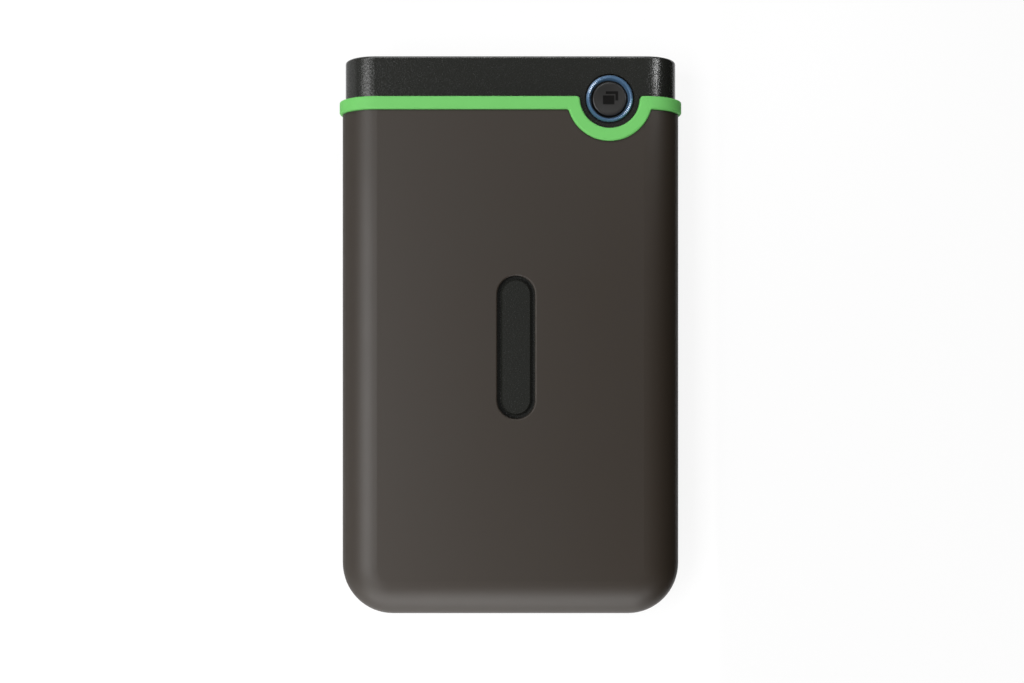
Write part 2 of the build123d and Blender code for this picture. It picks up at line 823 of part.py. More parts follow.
# Pressed cover
with BuildPart() as drive_cover:
    cover_width = drive_width - 2 * cover_inset
    cover_length = drive_length - 2 * cover_inset
    add_block([(0, drive_y)], cover_low, cover_width, cover_length, cover_sheet, corner=drive_corner)
    add_round([spindle], drive_top, cover_press_radius, -cover_press, mode=Mode.SUBTRACT)
    cover_hole = cover_screw_radius + screw_gap
    head_hole = cover_screw_head + screw_gap
    add_round(cover_screw_places, drive_top, cover_hole, -cover_sheet, mode=Mode.SUBTRACT)
    add_round(cover_screw_places, drive_top, head_hole, -cover_screw_thickness, mode=Mode.SUBTRACT)
finish(drive_cover, "drive_cover")

# Cover screws, flush with the cover
with BuildPart() as cover_screws:
    cover_seat = drive_top - cover_screw_thickness
    add_round(cover_screw_places, cover_seat, cover_screw_head, cover_screw_thickness)
    add_round(cover_screw_places, cover_seat, cover_screw_radius - fit_gap, -cover_screw_length)
finish(cover_screws, "cover_screws")

# Fixed bearing of the spindle
with BuildPart() as spindle_bearing:
    with BuildSketch(Plane.XY.offset(well_z)):
        with Locations(spindle):
            Circle(bearing_radius)
            Circle(shaft_radius + bearing_gap, mode=Mode.SUBTRACT)
    extrude(amount=hub_under - rotor_clearance - well_z)
finish(spindle_bearing, "spindle_bearing")

# Stator: a ring of teeth round the bearing
with BuildPart() as spindle_stator:
    with BuildSketch(Plane.XY.offset(stator_z)):
        with Locations(spindle):
            Circle(tooth_hub_radius)
            with PolarLocations(0, stator_teeth):
                Rectangle(stator_radius, tooth_width, align=(Align.MIN, Align.CENTER))
            with PolarLocations(stator_radius - tooth_tip / 2, stator_teeth):
                Rectangle(tooth_tip, tooth_tip_width)
            Circle(bearing_radius + fit_gap, mode=Mode.SUBTRACT)
    extrude(amount=stator_height)
finish(spindle_stator, "spindle_stator")

# Windings, one round each tooth
with BuildPart() as stator_coils:
    winding_low = tooth_hub_radius + winding_margin
    winding_high = stator_radius - tooth_tip - winding_margin
    winding_middle = (winding_low + winding_high) / 2
    with BuildSketch(Plane.XY.offset(stator_z - winding_thickness)):
        with Locations(spindle):
            with PolarLocations(winding_middle, stator_teeth):
                Rectangle(winding_high - winding_low, tooth_width + 2 * winding_thickness)
    extrude(amount=stator_height + 2 * winding_thickness)
    with BuildSketch(Plane.XY.offset(stator_z)):
        with Locations(spindle):
            with PolarLocations(winding_middle, stator_teeth):
                Rectangle(stator_radius, tooth_width)
    extrude(amount=stator_height, mode=Mode.SUBTRACT)
finish(stator_coils, "stator_coils")

# Spindle hub: shaft, top disc, platter flange and skirt, turned as one piece
with BuildPart() as spindle_hub:
    with BuildSketch(Plane.XZ.offset(-spindle_y)):
        with BuildLine():
            Polyline(
                (0, rotor_low),
                (shaft_radius, rotor_low),
                (shaft_radius, hub_under),
                (magnet_outer, hub_under),
                (magnet_outer, rotor_low),
                (magnet_outer + rotor_skirt, rotor_low),
                (magnet_outer + rotor_skirt, flange_z),
                (hub_flange_radius, flange_z),
                (hub_flange_radius, platter_low),
                (platter_bore - platter_gap, platter_low),
                (platter_bore - platter_gap, hub_top),
                (0, hub_top),
                close=True,
            )
        make_face()
    revolve(axis=Axis((0, spindle_y, 0), (0, 0, 1)))
    screw_hole_depth = clamp_screw_length - (clamp_top - hub_top)
    add_round([spindle], hub_top, clamp_screw_radius, -screw_hole_depth, mode=Mode.SUBTRACT)
finish(spindle_hub, "spindle_hub")

# Ring magnet inside the hub's skirt
with BuildPart() as rotor_magnet:
    with BuildSketch(Plane.XY.offset(rotor_low)):
        with Locations(spindle):
            Circle(magnet_outer - fit_gap)
            Circle(magnet_inner, mode=Mode.SUBTRACT)
    extrude(amount=magnet_ring_height)
finish(rotor_magnet, "rotor_magnet")

# Platter
with BuildPart() as platter:
    with BuildSketch(Plane.XY.offset(platter_low)):
        with Locations(spindle):
            Circle(platter_radius)
            Circle(platter_bore, mode=Mode.SUBTRACT)
    extrude(amount=platter_thickness)
finish(platter, "platter")

# Clamp that holds the platter on the hub
with BuildPart() as disk_clamp:
    with BuildSketch(Plane.XY.offset(platter_high)):
        with Locations(spindle):
            Circle(clamp_radius)
            Circle(clamp_screw_radius + screw_gap, mode=Mode.SUBTRACT)
            with PolarLocations(clamp_hole_circle, clamp_hole_count):
                Circle(clamp_hole_radius, mode=Mode.SUBTRACT)
    extrude(amount=clamp_thickness)
finish(disk_clamp, "disk_clamp")

with BuildPart() as clamp_screw:
    add_round([spindle], clamp_top, clamp_screw_head, clamp_screw_thickness)
    add_round([spindle], clamp_top, clamp_screw_radius - fit_gap, -clamp_screw_length + fit_gap)
finish(clamp_screw, "clamp_screw")

# Pivot of the head arm: fixed shaft and the bearing sleeve that turns on it
with BuildPart() as pivot_shaft:
    add_round([pivot], floor_z, pivot_shaft_radius, cover_low - floor_z)
    add_round([pivot], cover_low, cover_screw_radius, -cover_screw_length, mode=Mode.SUBTRACT)
finish(pivot_shaft, "pivot_shaft")

with BuildPart() as pivot_bearing:
    with BuildSketch(Plane.XY.offset(arm_hub_low)):
        with Locations(pivot):
            Circle(pivot_bearing_radius)
            Circle(pivot_shaft_radius + pivot_gap, mode=Mode.SUBTRACT)
    extrude(amount=arm_hub_high - arm_hub_low)
finish(pivot_bearing, "pivot_bearing")


def arm_plane(level):
    """Give a plane at a level with its origin at the pivot and its X along the parked arm."""
    angle = radians(park_angle)
    return Plane((pivot_x, pivot_y, level), x_dir=(cos(angle), sin(angle), 0), z_dir=(0, 0, 1))


def tapered_bar(start, end, start_width, end_width):
    """Draw a bar along the arm that narrows from one end to the other."""
    with BuildLine() as outline:
        Polyline(
            (start, start_width / 2),
            (end, end_width / 2),
            (end, -end_width / 2),
            (start, -start_width / 2),
            close=True,
        )
    make_face(outline.line)


# Head arm: hub, one arm below and one above the platter, and the fork that holds the coil
with BuildPart() as actuator_arm:
    add_round([pivot], arm_hub_low, arm_hub_radius, arm_hub_high - arm_hub_low)
    for arm_low in (lower_arm_top - arm_thickness, upper_arm_low):
        with BuildSketch(arm_plane(arm_low)):
            tapered_bar(0, arm_reach, arm_root_width, arm_tip_width)
            with Locations(((arm_hub_radius + arm_reach) / 2, 0)):
                SlotOverall(arm_reach / 3, arm_tip_width / 2, mode=Mode.SUBTRACT)
        extrude(amount=arm_thickness)
    with BuildSketch(Plane.XY.offset(coil_low)):
        fan(
            pivot,
            pivot_bearing_radius,
            coil_outer - prong_inset,
            coil_angle - coil_half_angle - prong_angle,
            coil_angle + coil_half_angle + prong_angle,
        )
        fan(
            pivot,
            coil_inner - fit_gap,
            coil_outer,
            coil_angle - coil_half_angle - coil_fit_angle,
            coil_angle + coil_half_angle + coil_fit_angle,
            mode=Mode.SUBTRACT,
        )
    extrude(amount=coil_height)
    add_round([pivot], arm_hub_low, pivot_bearing_radius + fit_gap, drive_height, mode=Mode.SUBTRACT)
finish(actuator_arm, "actuator_arm")

# Spring strips that carry the heads, each with a tab that rests on the ramp
with BuildPart() as arm_suspensions:
    spring_start = arm_reach - spring_overlap
    spring_end = arm_length + slider_length / 2
    for spring_low in (lower_arm_top, upper_spring_low):
        with BuildSketch(arm_plane(spring_low)):
            tapered_bar(spring_start, spring_end, spring_root_width, spring_tip_width)
            tapered_bar(arm_length, arm_length + lift_tab, lift_tab_width, lift_tab_width)
        extrude(amount=spring_thickness)
finish(arm_suspensions, "arm_suspensions")

with BuildPart() as head_sliders:
    for slider_low in (lower_spring_top, platter_high + flying_gap):
        with BuildSketch(arm_plane(slider_low)):
            with Locations((arm_length, 0)):
                Rectangle(slider_length, slider_width)
        extrude(amount=slider_height)
finish(head_sliders, "head_sliders")

# Voice coil between the arm's prongs
with BuildPart() as voice_coil:
    hole_inner = coil_inner + coil_wire
    hole_outer = coil_outer - coil_wire
    hole_angle = coil_half_angle - degrees(atan2(coil_wire, (hole_inner + hole_outer) / 2))
    with BuildSketch(Plane.XY.offset(coil_low)):
        fan(pivot, coil_inner, coil_outer, coil_angle - coil_half_angle, coil_angle + coil_half_angle)
        hole_sides = (coil_angle - hole_angle, coil_angle + hole_angle)
        fan(pivot, hole_inner, hole_outer, *hole_sides, mode=Mode.SUBTRACT)
    extrude(amount=coil_height)
finish(voice_coil, "voice_coil")

# Yokes and magnet of the voice coil motor
with BuildPart() as lower_yoke:
    with BuildSketch(Plane.XY.offset(floor_z)):
        fan(pivot, yoke_inner, yoke_outer, first_post - yoke_margin, last_post + yoke_margin)
    extrude(amount=yoke_sheet)
finish(lower_yoke, "lower_yoke")

with BuildPart() as coil_magnet:
    with BuildSketch(Plane.XY.offset(yoke_top)):
        fan(pivot, coil_inner, coil_outer, coil_angle - coil_half_angle, coil_angle + swing + coil_half_angle)
    extrude(amount=magnet_sheet)
finish(coil_magnet, "coil_magnet")

with BuildPart() as upper_yoke:
    with BuildSketch(Plane.XY.offset(upper_yoke_low)):
        fan(pivot, yoke_inner, yoke_outer, first_post - yoke_margin, last_post + yoke_margin)
    extrude(amount=yoke_sheet)
    for post in (radians(first_post), radians(last_post)):
        post_x = pivot_x + yoke_post_from_pivot * cos(post)
        post_y = pivot_y + yoke_post_from_pivot * sin(post)
        add_round([(post_x, post_y)], yoke_top, yoke_post_radius, upper_yoke_low - yoke_top)
finish(upper_yoke, "upper_yoke")

# Parking ramp: a tongue between the two lift tabs, on a post beside the platter
with BuildPart() as load_ramp:
    ramp_start = arm_length + ramp_inner
    ramp_edge = ramp_start + ramp_tongue
    ramp_end = ramp_edge + ramp_post
    ramp_low = lower_arm_top + spring_thickness + ramp_gap
    with BuildSketch(Plane.XY.offset(ramp_low)):
        fan(pivot, ramp_start, ramp_end, park_angle - ramp_before, park_angle + ramp_after)
    extrude(amount=upper_spring_low - ramp_gap - ramp_low)
    with BuildSketch(Plane.XY.offset(floor_z)):
        fan(pivot, ramp_edge, ramp_end, park_angle - ramp_before, park_angle + ramp_after)
    extrude(amount=ramp_height)
finish(load_ramp, "load_ramp")

# Air filter in the corner of the pocket
with BuildPart() as air_filter:
    filter_x = filter_inset + filter_length / 2 - pocket_half
    filter_y = pocket_high - filter_inset - filter_width / 2
    add_block([(filter_x, filter_y)], floor_z, filter_length, filter_width, filter_height)
finish(air_filter, "air_filter")

# Circuit board of the drive, under its base, with its chips facing the base
with BuildPart() as drive_board:
    drive_board_y = drive_board_end - drive_board_length / 2
    add_block(
        [(0, drive_board_y)],
        drive_board_low,
        drive_board_width,
        drive_board_length,
        drive_board_sheet,
    )
    drive_screw_hole = drive_screw_radius + screw_gap
    add_round(drive_screw_places, drive_board_low, drive_screw_hole, drive_board_sheet, mode=Mode.SUBTRACT)
finish(drive_board, "drive_board")

with BuildPart() as drive_controller:
    add_block([(controller_x, chip_row_y)], drive_board_top, controller_size, controller_size, chip_height)
finish(drive_controller, "drive_controller")

with BuildPart() as drive_memory:
    add_block([(memory_x, chip_row_y)], drive_board_top, memory_width, memory_length, chip_height)
finish(drive_memory, "drive_memory")

with BuildPart() as motor_driver:
    add_block([(driver_x, chip_row_y)], drive_board_top, driver_size, driver_size, chip_height)
finish(motor_driver, "motor_driver")

with BuildPart() as drive_board_screws:
    add_round(drive_screw_places, drive_board_low, drive_screw_head, -drive_screw_thickness)
    drive_screw_length = drive_board_sheet + drive_screw_bite - fit_gap
    add_round(drive_screw_places, drive_board_low, drive_screw_radius - fit_gap, drive_screw_length)
finish(drive_board_screws, "drive_board_screws")


def serial_tongues(grow):
    """Draw the data and the power tongue of the serial plug, each with its key, grown all round."""
    start = plug_x - tongues_width / 2
    for left, width in ((start, data_tongue), (start + data_tongue + tongue_space, power_tongue)):
        with Locations((left + width / 2, tongue_z)):
            Rectangle(width + 2 * grow, tongue_thickness + 2 * grow)
        with Locations((left + width - tongue_key_width / 2, tongue_z - tongue_key / 2)):
            Rectangle(tongue_key_width + 2 * grow, tongue_thickness + tongue_key + 2 * grow)


# Serial plug of the drive: a back plate in the notch and two keyed tongues
with BuildPart() as drive_sata_plug:
    plate_height = drive_z + plug_notch_height - plug_clearance - drive_board_top
    add_block([(plug_x, tongue_root - plug_back / 2)], drive_board_top, plug_width, plug_back, plate_height)
    with BuildSketch(Plane.XZ.offset(-tongue_tip)):
        serial_tongues(0)
    extrude(amount=tongue_length)
finish(drive_sata_plug, "drive_sata_plug")

# Receptacle on the bridge board that takes the drive's plug
with BuildPart() as sata_receptacle:
    receptacle_low = tongue_root + receptacle_gap
    receptacle_high = board_low + receptacle_seat
    add_block(
        [(plug_x, (receptacle_low + receptacle_high) / 2)],
        board_top,
        plug_width,
        receptacle_high - receptacle_low,
        receptacle_height,
    )
    with BuildSketch(Plane.XZ.offset(-tongue_tip - receptacle_gap)):
        serial_tongues(slot_gap)
    extrude(amount=tongue_length + receptacle_gap, mode=Mode.SUBTRACT)
finish(sata_receptacle, "sata_receptacle")

# Bridge board
with BuildPart() as bridge_board:
    board_place = ((board_left + board_right) / 2, (board_low + board_high) / 2)
    board_width = board_right - board_left
    add_block([board_place], board_z, board_width, board_high - board_low, board_sheet)
    board_hole = board_screw_radius + screw_gap
    add_round(board_screw_places, board_z, board_hole, board_sheet, mode=Mode.SUBTRACT)
finish(bridge_board, "bridge_board")

with BuildPart() as board_screws:
    add_round(board_screw_places, board_top, board_screw_head, board_screw_thickness)
    board_screw_length = board_sheet + board_screw_bite - fit_gap
    add_round(board_screw_places, board_top, board_screw_radius - fit_gap, -board_screw_length)
finish(board_screws, "board_screws")

# Chips and small parts on the bridge board
with BuildPart() as bridge_chip:
    bridge_chip_place = (board_right - bridge_chip_from_right, board_row)
    add_block([bridge_chip_place], board_top, bridge_chip_size, bridge_chip_size, bridge_chip_height)
finish(bridge_chip, "bridge_chip")

with BuildPart() as flash_chip:
    add_block([(board_left + flash_from_left, board_row)], board_top, flash_length, flash_width, flash_height)
finish(flash_chip, "flash_chip")

with BuildPart() as clock_crystal:
    add_block([(crystal_x, board_row)], board_top, crystal_length, crystal_width, crystal_height)
finish(clock_crystal, "clock_crystal")

with BuildPart() as power_inductor:
    inductor_place = (board_left + inductor_from_left, board_row)
    add_block([inductor_place], board_top, inductor_size, inductor_size, inductor_height, inductor_corner)
finish(power_inductor, "power_inductor")

with BuildPart() as board_capacitors:
    capacitor_x = board_right - capacitor_from_right
    rows = range(capacitor_count)
    first_row = board_row - capacitor_pitch * (capacitor_count - 1) / 2
    capacitor_places = [(capacitor_x, first_row + row * capacitor_pitch) for row in rows]
    add_block(capacitor_places, board_top, capacitor_length, capacitor_width, capacitor_width)
finish(board_capacitors, "board_capacitors")

# Switch under the button, with its plunger
with BuildPart() as tact_switch:
    add_block([button], board_top, switch_size, switch_size, switch_height)
    plunger_hole = plunger_seat + button_travel + plunger_gap
    add_round([button], switch_top, plunger_radius + plunger_gap, -plunger_hole, mode=Mode.SUBTRACT)
finish(tact_switch, "tact_switch")

with BuildPart() as switch_plunger:
    add_round([button], switch_top - plunger_seat, plunger_radius, plunger_seat + plunger_rise)
finish(switch_plunger, "switch_plunger")

# Lamps under the pegs of the light ring
with BuildPart() as status_leds:
    add_block(pegs, board_top, led_length, led_width, led_height)
finish(status_leds, "status_leds")


def socket_opening():
    """Draw the mouth of the socket: a wide and a narrow lobe with bevelled feet, joined by a neck."""
    left = socket_x - socket_width / 2
    right = socket_x + socket_width / 2
    with BuildLine() as outline:
        Polyline(
            (left, socket_low + socket_height),
            (right, socket_low + socket_height),
            (right, socket_low + lobe_bevel),
            (right - lobe_bevel, socket_low),
            (right - main_lobe + lobe_bevel, socket_low),
            (right - main_lobe, socket_low + lobe_bevel),
            (left + side_lobe, socket_low + lobe_bevel),
            (left + side_lobe - lobe_bevel, socket_low),
            (left + lobe_bevel, socket_low),
            (left, socket_low + lobe_bevel),
            close=True,
        )
    make_face(outline.line)


# Socket shell: folded sheet with a closed back
with BuildPart() as usb_shell:
    with BuildSketch(Plane.XZ.offset(-socket_mouth)):
        socket_opening()
        offset(amount=socket_shell)
    extrude(amount=socket_depth)
    with BuildSketch(Plane.XZ.offset(-socket_mouth)):
        socket_opening()
    extrude(amount=socket_depth - socket_shell, mode=Mode.SUBTRACT)
finish(usb_shell, "usb_shell")

# Insulator in the socket: a back block and one blade in each lobe
main_blade_x = socket_x + socket_width / 2 - main_lobe / 2
side_blade_x = socket_x - socket_width / 2 + side_lobe / 2
blade_root = socket_back + socket_shell + insulator_depth
blade_low = socket_low + blade_lift
with BuildPart() as usb_tongue:
    with BuildSketch(Plane.XZ.offset(-blade_root)):
        socket_opening()
        offset(amount=-fit_gap)
    extrude(amount=insulator_depth)
    with BuildSketch(Plane.XZ.offset(-blade_root - blade_reach)):
        for blade_x, lobe in ((main_blade_x, main_lobe), (side_blade_x, side_lobe)):
            with Locations((blade_x, blade_low + blade_sheet / 2)):
                Rectangle(lobe - 2 * blade_margin - lobe_bevel, blade_sheet)
    extrude(amount=blade_reach)
finish(usb_tongue, "usb_tongue")

# Contacts along the underside of the blades
with BuildPart() as usb_contacts:
    with BuildSketch(Plane.XZ.offset(-blade_root - blade_reach)):
        for blade_x in (main_blade_x, side_blade_x):
            with Locations((blade_x, blade_low - contact_sheet / 2)):
                with GridLocations(contact_pitch, 0, contact_count, 1):
                    Rectangle(contact_width, contact_sheet)
    extrude(amount=blade_reach)
finish(usb_contacts, "usb_contacts")

print(f"arm parked at {park_angle:.3f} degrees, swings {swing:.3f} degrees to the inner track")
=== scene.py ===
"""Looks of a portable hard drive: its finishes, the ribbed light ring, the button's mark and the studio."""

import logging
import math
from dataclasses import dataclass, field
from enum import Enum

import bmesh
import bpy
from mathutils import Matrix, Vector


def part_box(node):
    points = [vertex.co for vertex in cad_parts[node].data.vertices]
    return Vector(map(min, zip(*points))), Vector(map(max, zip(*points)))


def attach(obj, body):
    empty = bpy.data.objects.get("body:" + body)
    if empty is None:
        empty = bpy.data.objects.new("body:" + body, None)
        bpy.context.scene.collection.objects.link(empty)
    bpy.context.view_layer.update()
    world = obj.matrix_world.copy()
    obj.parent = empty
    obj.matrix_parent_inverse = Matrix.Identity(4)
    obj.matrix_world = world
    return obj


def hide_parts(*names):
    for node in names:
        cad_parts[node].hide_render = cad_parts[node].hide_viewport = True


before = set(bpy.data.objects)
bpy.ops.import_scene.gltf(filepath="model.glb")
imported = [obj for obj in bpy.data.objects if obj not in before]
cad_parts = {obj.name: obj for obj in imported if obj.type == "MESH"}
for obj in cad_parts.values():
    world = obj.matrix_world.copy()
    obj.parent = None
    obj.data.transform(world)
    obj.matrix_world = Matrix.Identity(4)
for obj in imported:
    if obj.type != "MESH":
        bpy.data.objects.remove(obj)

MM = 0.001
# Width of one wave of Blender's wave texture at a scale of one
WAVE_WIDTH = math.pi / 10
# Watts for each square metre of an area lamp whose radiance is one
LAMP_WATTS = 4.0
# Octaves of the noise in the colour patches and in the relief, and the share of each finer octave in a grain
PATCH_DETAIL = 3.0
RELIEF_DETAIL = 4.0
GRAIN_ROUGHNESS = 0.6
# Rolled and brushed lines run fifty times as far along Y as they are wide
LINE_SQUEEZE = (1.0, 0.02, 1.0)
# How far lathe rings and turns of wire wander off their path, and the octaves of the rings' wander
RING_WANDER = 0.6
RING_DETAIL = 2.0
TURN_WANDER = 0.3
# Angle in degrees from which an edge of a made mesh stays sharp
SHARP_EDGE = 40.0
log = logging.getLogger("portable_drive")


def linear(colour: str) -> tuple[float, float, float, float]:
    """Turn an sRGB hex colour into the linear colour that Blender's sockets take.

    Args:
        colour: Six hex digits after a hash sign.

    Returns:
        Linear red, green and blue, and an alpha of one.
    """
    parts = [int(colour[start:start + 2], 16) / 255 for start in (1, 3, 5)]
    # The sRGB curve is straight near black and a power above it
    red, green, blue = (
        part / 12.92 if part <= 0.04045 else ((part + 0.055) / 1.055) ** 2.4 for part in parts
    )
    return red, green, blue, 1.0


def per_mm(size: float) -> float:
    """Give the texture scale, in repeats a metre, for features of this size in millimetres."""
    return 1 / (size * MM)


def upright_axis(node: str) -> tuple[float, float]:
    """Give the x and y, in metres, of the upright axis of a round CAD node."""
    low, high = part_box(node)
    return (low.x + high.x) / 2, (low.y + high.y) / 2


def empty_tree(owner: bpy.types.Material | bpy.types.World) -> bpy.types.NodeTree:
    """Switch on the nodes of a material or world and clear them.

    Args:
        owner: The material or world.

    Returns:
        Its node tree, with nothing in it.
    """
    owner.use_nodes = True
    owner.node_tree.nodes.clear()
    return owner.node_tree


def add_node(
    tree: bpy.types.NodeTree, kind: str, inputs: dict[str | int, object] | None = None, **settings: object
) -> bpy.types.Node:
    """Add one node, set its options, and fill or link its inputs.

    Args:
        tree: Node tree that takes the node.
        kind: Blender's name for the type of node.
        inputs: A value, or a socket to link, for each input by its name or number.
        settings: The node's own options.

    Returns:
        The new node.
    """
    node = tree.nodes.new(kind)
    for option, value in settings.items():
        setattr(node, option, value)
    for key, value in (inputs or {}).items():
        if isinstance(value, bpy.types.NodeSocket):
            tree.links.new(value, node.inputs[key])
        else:
            node.inputs[key].default_value = value
    return node


class Pattern(Enum):
    """How the small relief of a surface is laid out."""

    GRAIN = "cloudy grain of a moulding or casting"
    PITS = "cells of a foamed surface"
    LINES = "lines left by rolling or brushing along Y"
    RINGS = "lathe rings about an upright axis"
    TURNS = "wire laid turn by turn"


@dataclass(frozen=True)
class Finish:
    """One real material with the surface that its making left.

    The colour drifts to the shade in soft patches, and the roughness drifts with it. The axis, in metres, is
    that of the lathe rings.
    """

    name: str
    colour: str
    shade: str
    roughness: float
    roughness_drift: float = 0.05
    patch_mm: float = 9.0
    pattern: Pattern = Pattern.GRAIN
    pattern_mm: float = 0.3
    relief_mm: float = 0.006
    axis: tuple[float, float] = (0.0, 0.0)
    ior: float = 1.5
    specular: float = 0.5
    metallic: float = 0.0
    coat: float = 0.0
    coat_roughness: float = 0.15
    sheen: float = 0.0
    transmission: float = 0.0

    def material(self) -> bpy.types.Material:
        """Give the Blender material of this finish, made at the first call.

        Returns:
            The material, named as the finish is.
        """
        made = bpy.data.materials.get(self.name)
        if made is not None:
            return made
        made = bpy.data.materials.new(self.name)
        tree = empty_tree(made)
        place = add_node(tree, "ShaderNodeTexCoord").outputs["Object"]
        patches = add_node(
            tree,
            "ShaderNodeTexNoise",
            {"Vector": place, "Scale": per_mm(self.patch_mm), "Detail": PATCH_DETAIL},
        ).outputs[0]
        roughness = add_node(
            tree,
            "ShaderNodeMapRange",
            {
                "Value": patches,
                "To Min": self.roughness - self.roughness_drift,
                "To Max": self.roughness + self.roughness_drift,
            },
        )
        relief = add_node(
            tree, "ShaderNodeBump", {"Height": self.height(tree, place), "Distance": self.relief_mm * MM}
        )
        shader = add_node(
            tree,
            "ShaderNodeBsdfPrincipled",
            {
                "Base Color": self.tint(tree, place, patches),
                "Roughness": roughness.outputs[0],
                "Normal": relief.outputs[0],
                "IOR": self.ior,
                "Specular IOR Level": self.specular,
                "Metallic": self.metallic,
                "Coat Weight": self.coat,
                "Coat Roughness": self.coat_roughness,
                "Sheen Weight": self.sheen,
                "Transmission Weight": self.transmission,
            },
        )
        add_node(tree, "ShaderNodeOutputMaterial", {"Surface": shader.outputs[0]})
        return made

    def tint(
        self, tree: bpy.types.NodeTree, place: bpy.types.NodeSocket, patches: bpy.types.NodeSocket
    ) -> bpy.types.NodeSocket:
        """Give the socket of the base colour.

        Args:
            tree: Node tree of the material.
            place: Position on the piece, in metres.
            patches: Soft noise from zero to one.

        Returns:
            A colour socket.
        """
        # A colour mix takes its share at socket 0 and its colours at 6 and 7, and gives the mixed one at 2
        mix = add_node(
            tree,
            "ShaderNodeMix",
            {0: patches, 6: linear(self.colour), 7: linear(self.shade)},
            data_type="RGBA",
        )
        return mix.outputs[2]

    def height(self, tree: bpy.types.NodeTree, place: bpy.types.NodeSocket) -> bpy.types.NodeSocket:
        """Give the socket of the relief's height, from zero to one.

        Args:
            tree: Node tree of the material.
            place: Position on the piece, in metres.

        Returns:
            A number socket.
        """
        scale = per_mm(self.pattern_mm)
        wave_scale = WAVE_WIDTH * scale
        if self.pattern is Pattern.PITS:
            return add_node(tree, "ShaderNodeTexVoronoi", {"Vector": place, "Scale": scale}).outputs[0]
        if self.pattern is Pattern.LINES:
            stretched = add_node(tree, "ShaderNodeMapping", {"Vector": place, "Scale": LINE_SQUEEZE})
            return add_node(
                tree,
                "ShaderNodeTexNoise",
                {"Vector": stretched.outputs[0], "Scale": scale, "Detail": RELIEF_DETAIL},
            ).outputs[0]
        if self.pattern is Pattern.RINGS:
            shift = (-self.axis[0], -self.axis[1], 0.0)
            centred = add_node(tree, "ShaderNodeMapping", {"Vector": place, "Location": shift})
            return add_node(
                tree,
                "ShaderNodeTexWave",
                {
                    "Vector": centred.outputs[0],
                    "Scale": wave_scale,
                    "Distortion": RING_WANDER,
                    "Detail": RING_DETAIL,
                },
                wave_type="RINGS",
                rings_direction="Z",
            ).outputs[1]
        if self.pattern is Pattern.TURNS:
            return add_node(
                tree,
                "ShaderNodeTexWave",
                {"Vector": place, "Scale": wave_scale, "Distortion": TURN_WANDER},
                wave_type="BANDS",
                bands_direction="DIAGONAL",
            ).outputs[1]
        return add_node(
            tree,
            "ShaderNodeTexNoise",
            {"Vector": place, "Scale": scale, "Detail": RELIEF_DETAIL, "Roughness": GRAIN_ROUGHNESS},
        ).outputs[0]


@dataclass(frozen=True)
class CircuitLaminate(Finish):
    """Glass laminate under solder mask, with copper tracks that show through it as lighter lines.

    The tracks' width and run are counted in track pitches.
    """

    track_colour: str = "#2E7A4E"
    track_mm: float = 1.2
    track_width: float = 0.12
    track_run: float = 4.0

    def tint(
        self, tree: bpy.types.NodeTree, place: bpy.types.NodeSocket, patches: bpy.types.NodeSocket
    ) -> bpy.types.NodeSocket:
        """Give the mask's colour with the tracks drawn as the joints of a brick pattern.

        Args:
            tree: Node tree of the material.
            place: Position on the board, in metres.
            patches: Soft noise from zero to one.

        Returns:
            A colour socket.
        """
        mask = super().tint(tree, place, patches)
        tracks = add_node(
            tree,
            "ShaderNodeTexBrick",
            {
                "Vector": place,
                "Color1": mask,
                "Color2": mask,
                "Mortar": linear(self.track_colour),
                "Scale": per_mm(self.track_mm),
                "Mortar Size": self.track_width,
                "Brick Width": self.track_run,
                "Row Height": 1.0,
            },
        )
        return tracks.outputs[0]


# Soft to the eye: a warm dark grey with a wide dull sheen; its faint grain is drawn 0.5 mm wide, coarser than
# the mould's, so that it shows
SLEEVE_RUBBER = Finish(
    "silicone_rubber_moulded_matt", "#2A221A", "#272018",
    roughness=0.5, roughness_drift=0.03, patch_mm=16.0, pattern_mm=0.5, relief_mm=0.003,
)
# Even leaf green with a soft light on its rounded edges; its grain is drawn coarse like the sleeve's
BAND_RUBBER = Finish(
    "silicone_rubber_moulded_satin", "#69BB60", "#64B55B",
    roughness=0.6, roughness_drift=0.04, patch_mm=7.0, pattern_mm=0.4, relief_mm=0.003, specular=0.35,
)
# Black with a fine sparkle; the eroded grain is drawn about 0.5 mm wide, coarser than the real one,
# so that it shows
CASE_PLASTIC = Finish(
    "abs_moulded_spark_eroded", "#252623", "#0F100D",
    roughness=0.25, roughness_drift=0.14, patch_mm=0.5, pattern_mm=0.45, relief_mm=0.05, ior=1.54,
)
# Steel blue, with a bright streak where the ribs face a lamp
RING_PLASTIC = Finish(
    "polycarbonate_moulded_metallised", "#517191", "#4D6C8C",
    roughness=0.16, roughness_drift=0.03, patch_mm=2.0, pattern_mm=0.12, relief_mm=0.001, metallic=0.3,
    coat=1.0, coat_roughness=0.05,
)
# Dark grey satin, smoother than the case
BUTTON_PLASTIC = Finish(
    "abs_moulded_satin", "#222120", "#1E1D1C",
    roughness=0.36, roughness_drift=0.04, patch_mm=3.0, pattern_mm=0.25, relief_mm=0.004, ior=1.54,
)
# Near-black ink that lies on the button as a thin film
MARK_INK = Finish(
    "ink_pad_printed", "#0B0A09", "#090807",
    roughness=0.6, patch_mm=1.5, pattern_mm=0.15, relief_mm=0.002, specular=0.1,
)
# Grey zinc, slightly dull
SCREW_STEEL = Finish(
    "steel_zinc_plated", "#A9AAAC", "#9C9DA0",
    roughness=0.34, roughness_drift=0.06, patch_mm=1.5, pattern_mm=0.2, relief_mm=0.003, metallic=1.0,
)
# Deep green gloss with the tracks showing through
BOARD_LAMINATE = CircuitLaminate(
    "glass_laminate_solder_masked", "#16633C", "#125534",
    roughness=0.32, patch_mm=6.0, pattern_mm=0.25, coat=0.3,
)
